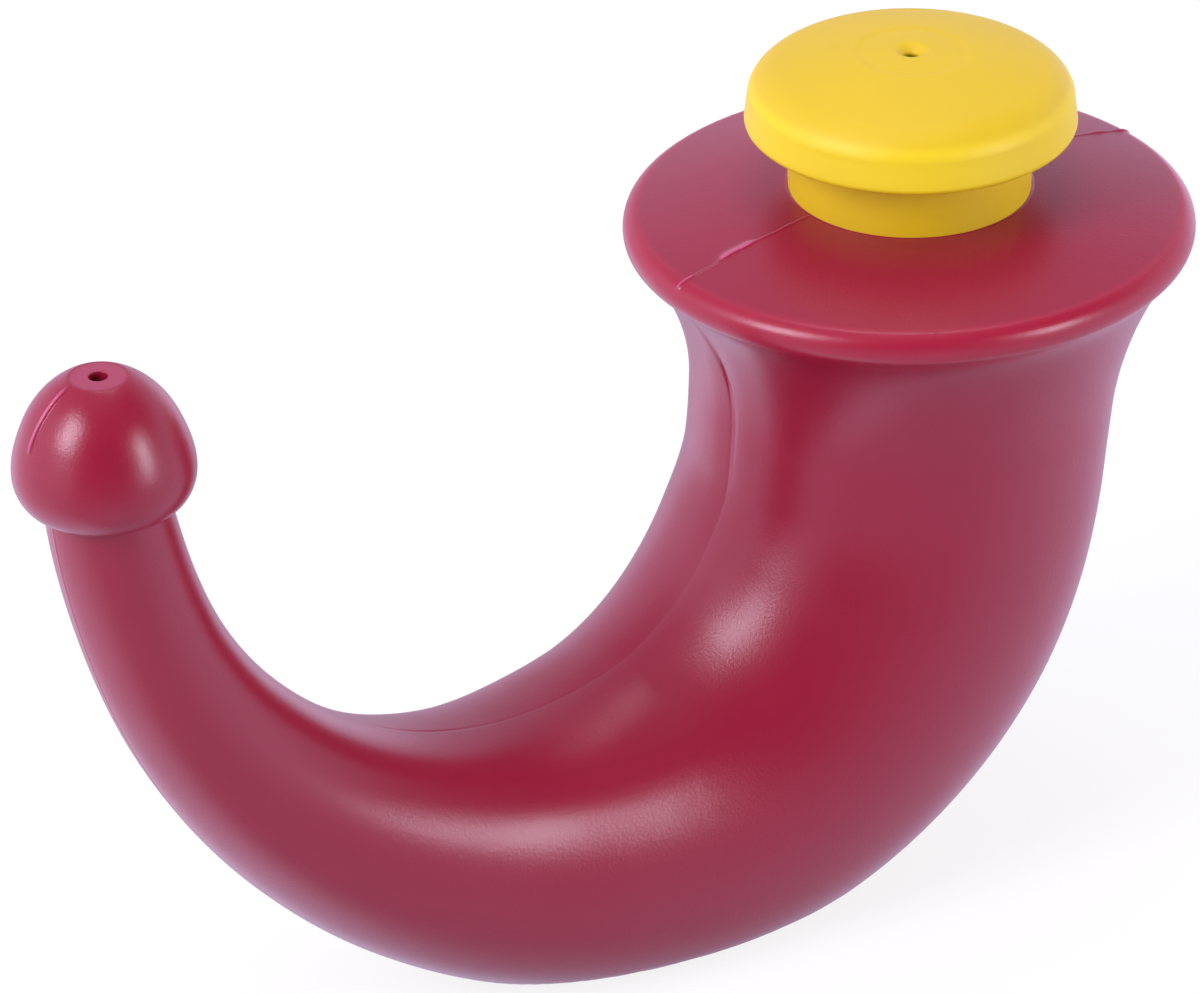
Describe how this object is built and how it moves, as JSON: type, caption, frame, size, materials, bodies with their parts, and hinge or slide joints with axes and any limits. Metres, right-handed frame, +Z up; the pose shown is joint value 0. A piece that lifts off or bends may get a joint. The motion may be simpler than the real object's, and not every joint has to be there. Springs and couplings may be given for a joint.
{
  "type": "neti pot",
  "caption": "Horn-shaped nasal rinse pot with a bulb nozzle, a flat foot and a wide flanged head closed by a push-in stopper.",
  "frame": {"origin": "on the flat foot, under the place where the horn's centre line runs level", "axes": "+X from the nozzle towards the head, +Y across the horn, +Z up"},
  "size_m": [0.1614, 0.072, 0.1069],
  "materials": {
    "horn_plastic": "satin raspberry red",
    "cap_plastic": "satin yellow"
  },
  "bodies": {
    "pot": {"horn_body": "horn_plastic"},
    "stopper": {"filler_cap": "cap_plastic"}
  },
  "joints": [
    {"name": "cap_pull", "type": "slide", "parent": "pot", "child": "stopper", "axis": [0, 0, 1], "range_m": [0, 0.025]}
  ]
}
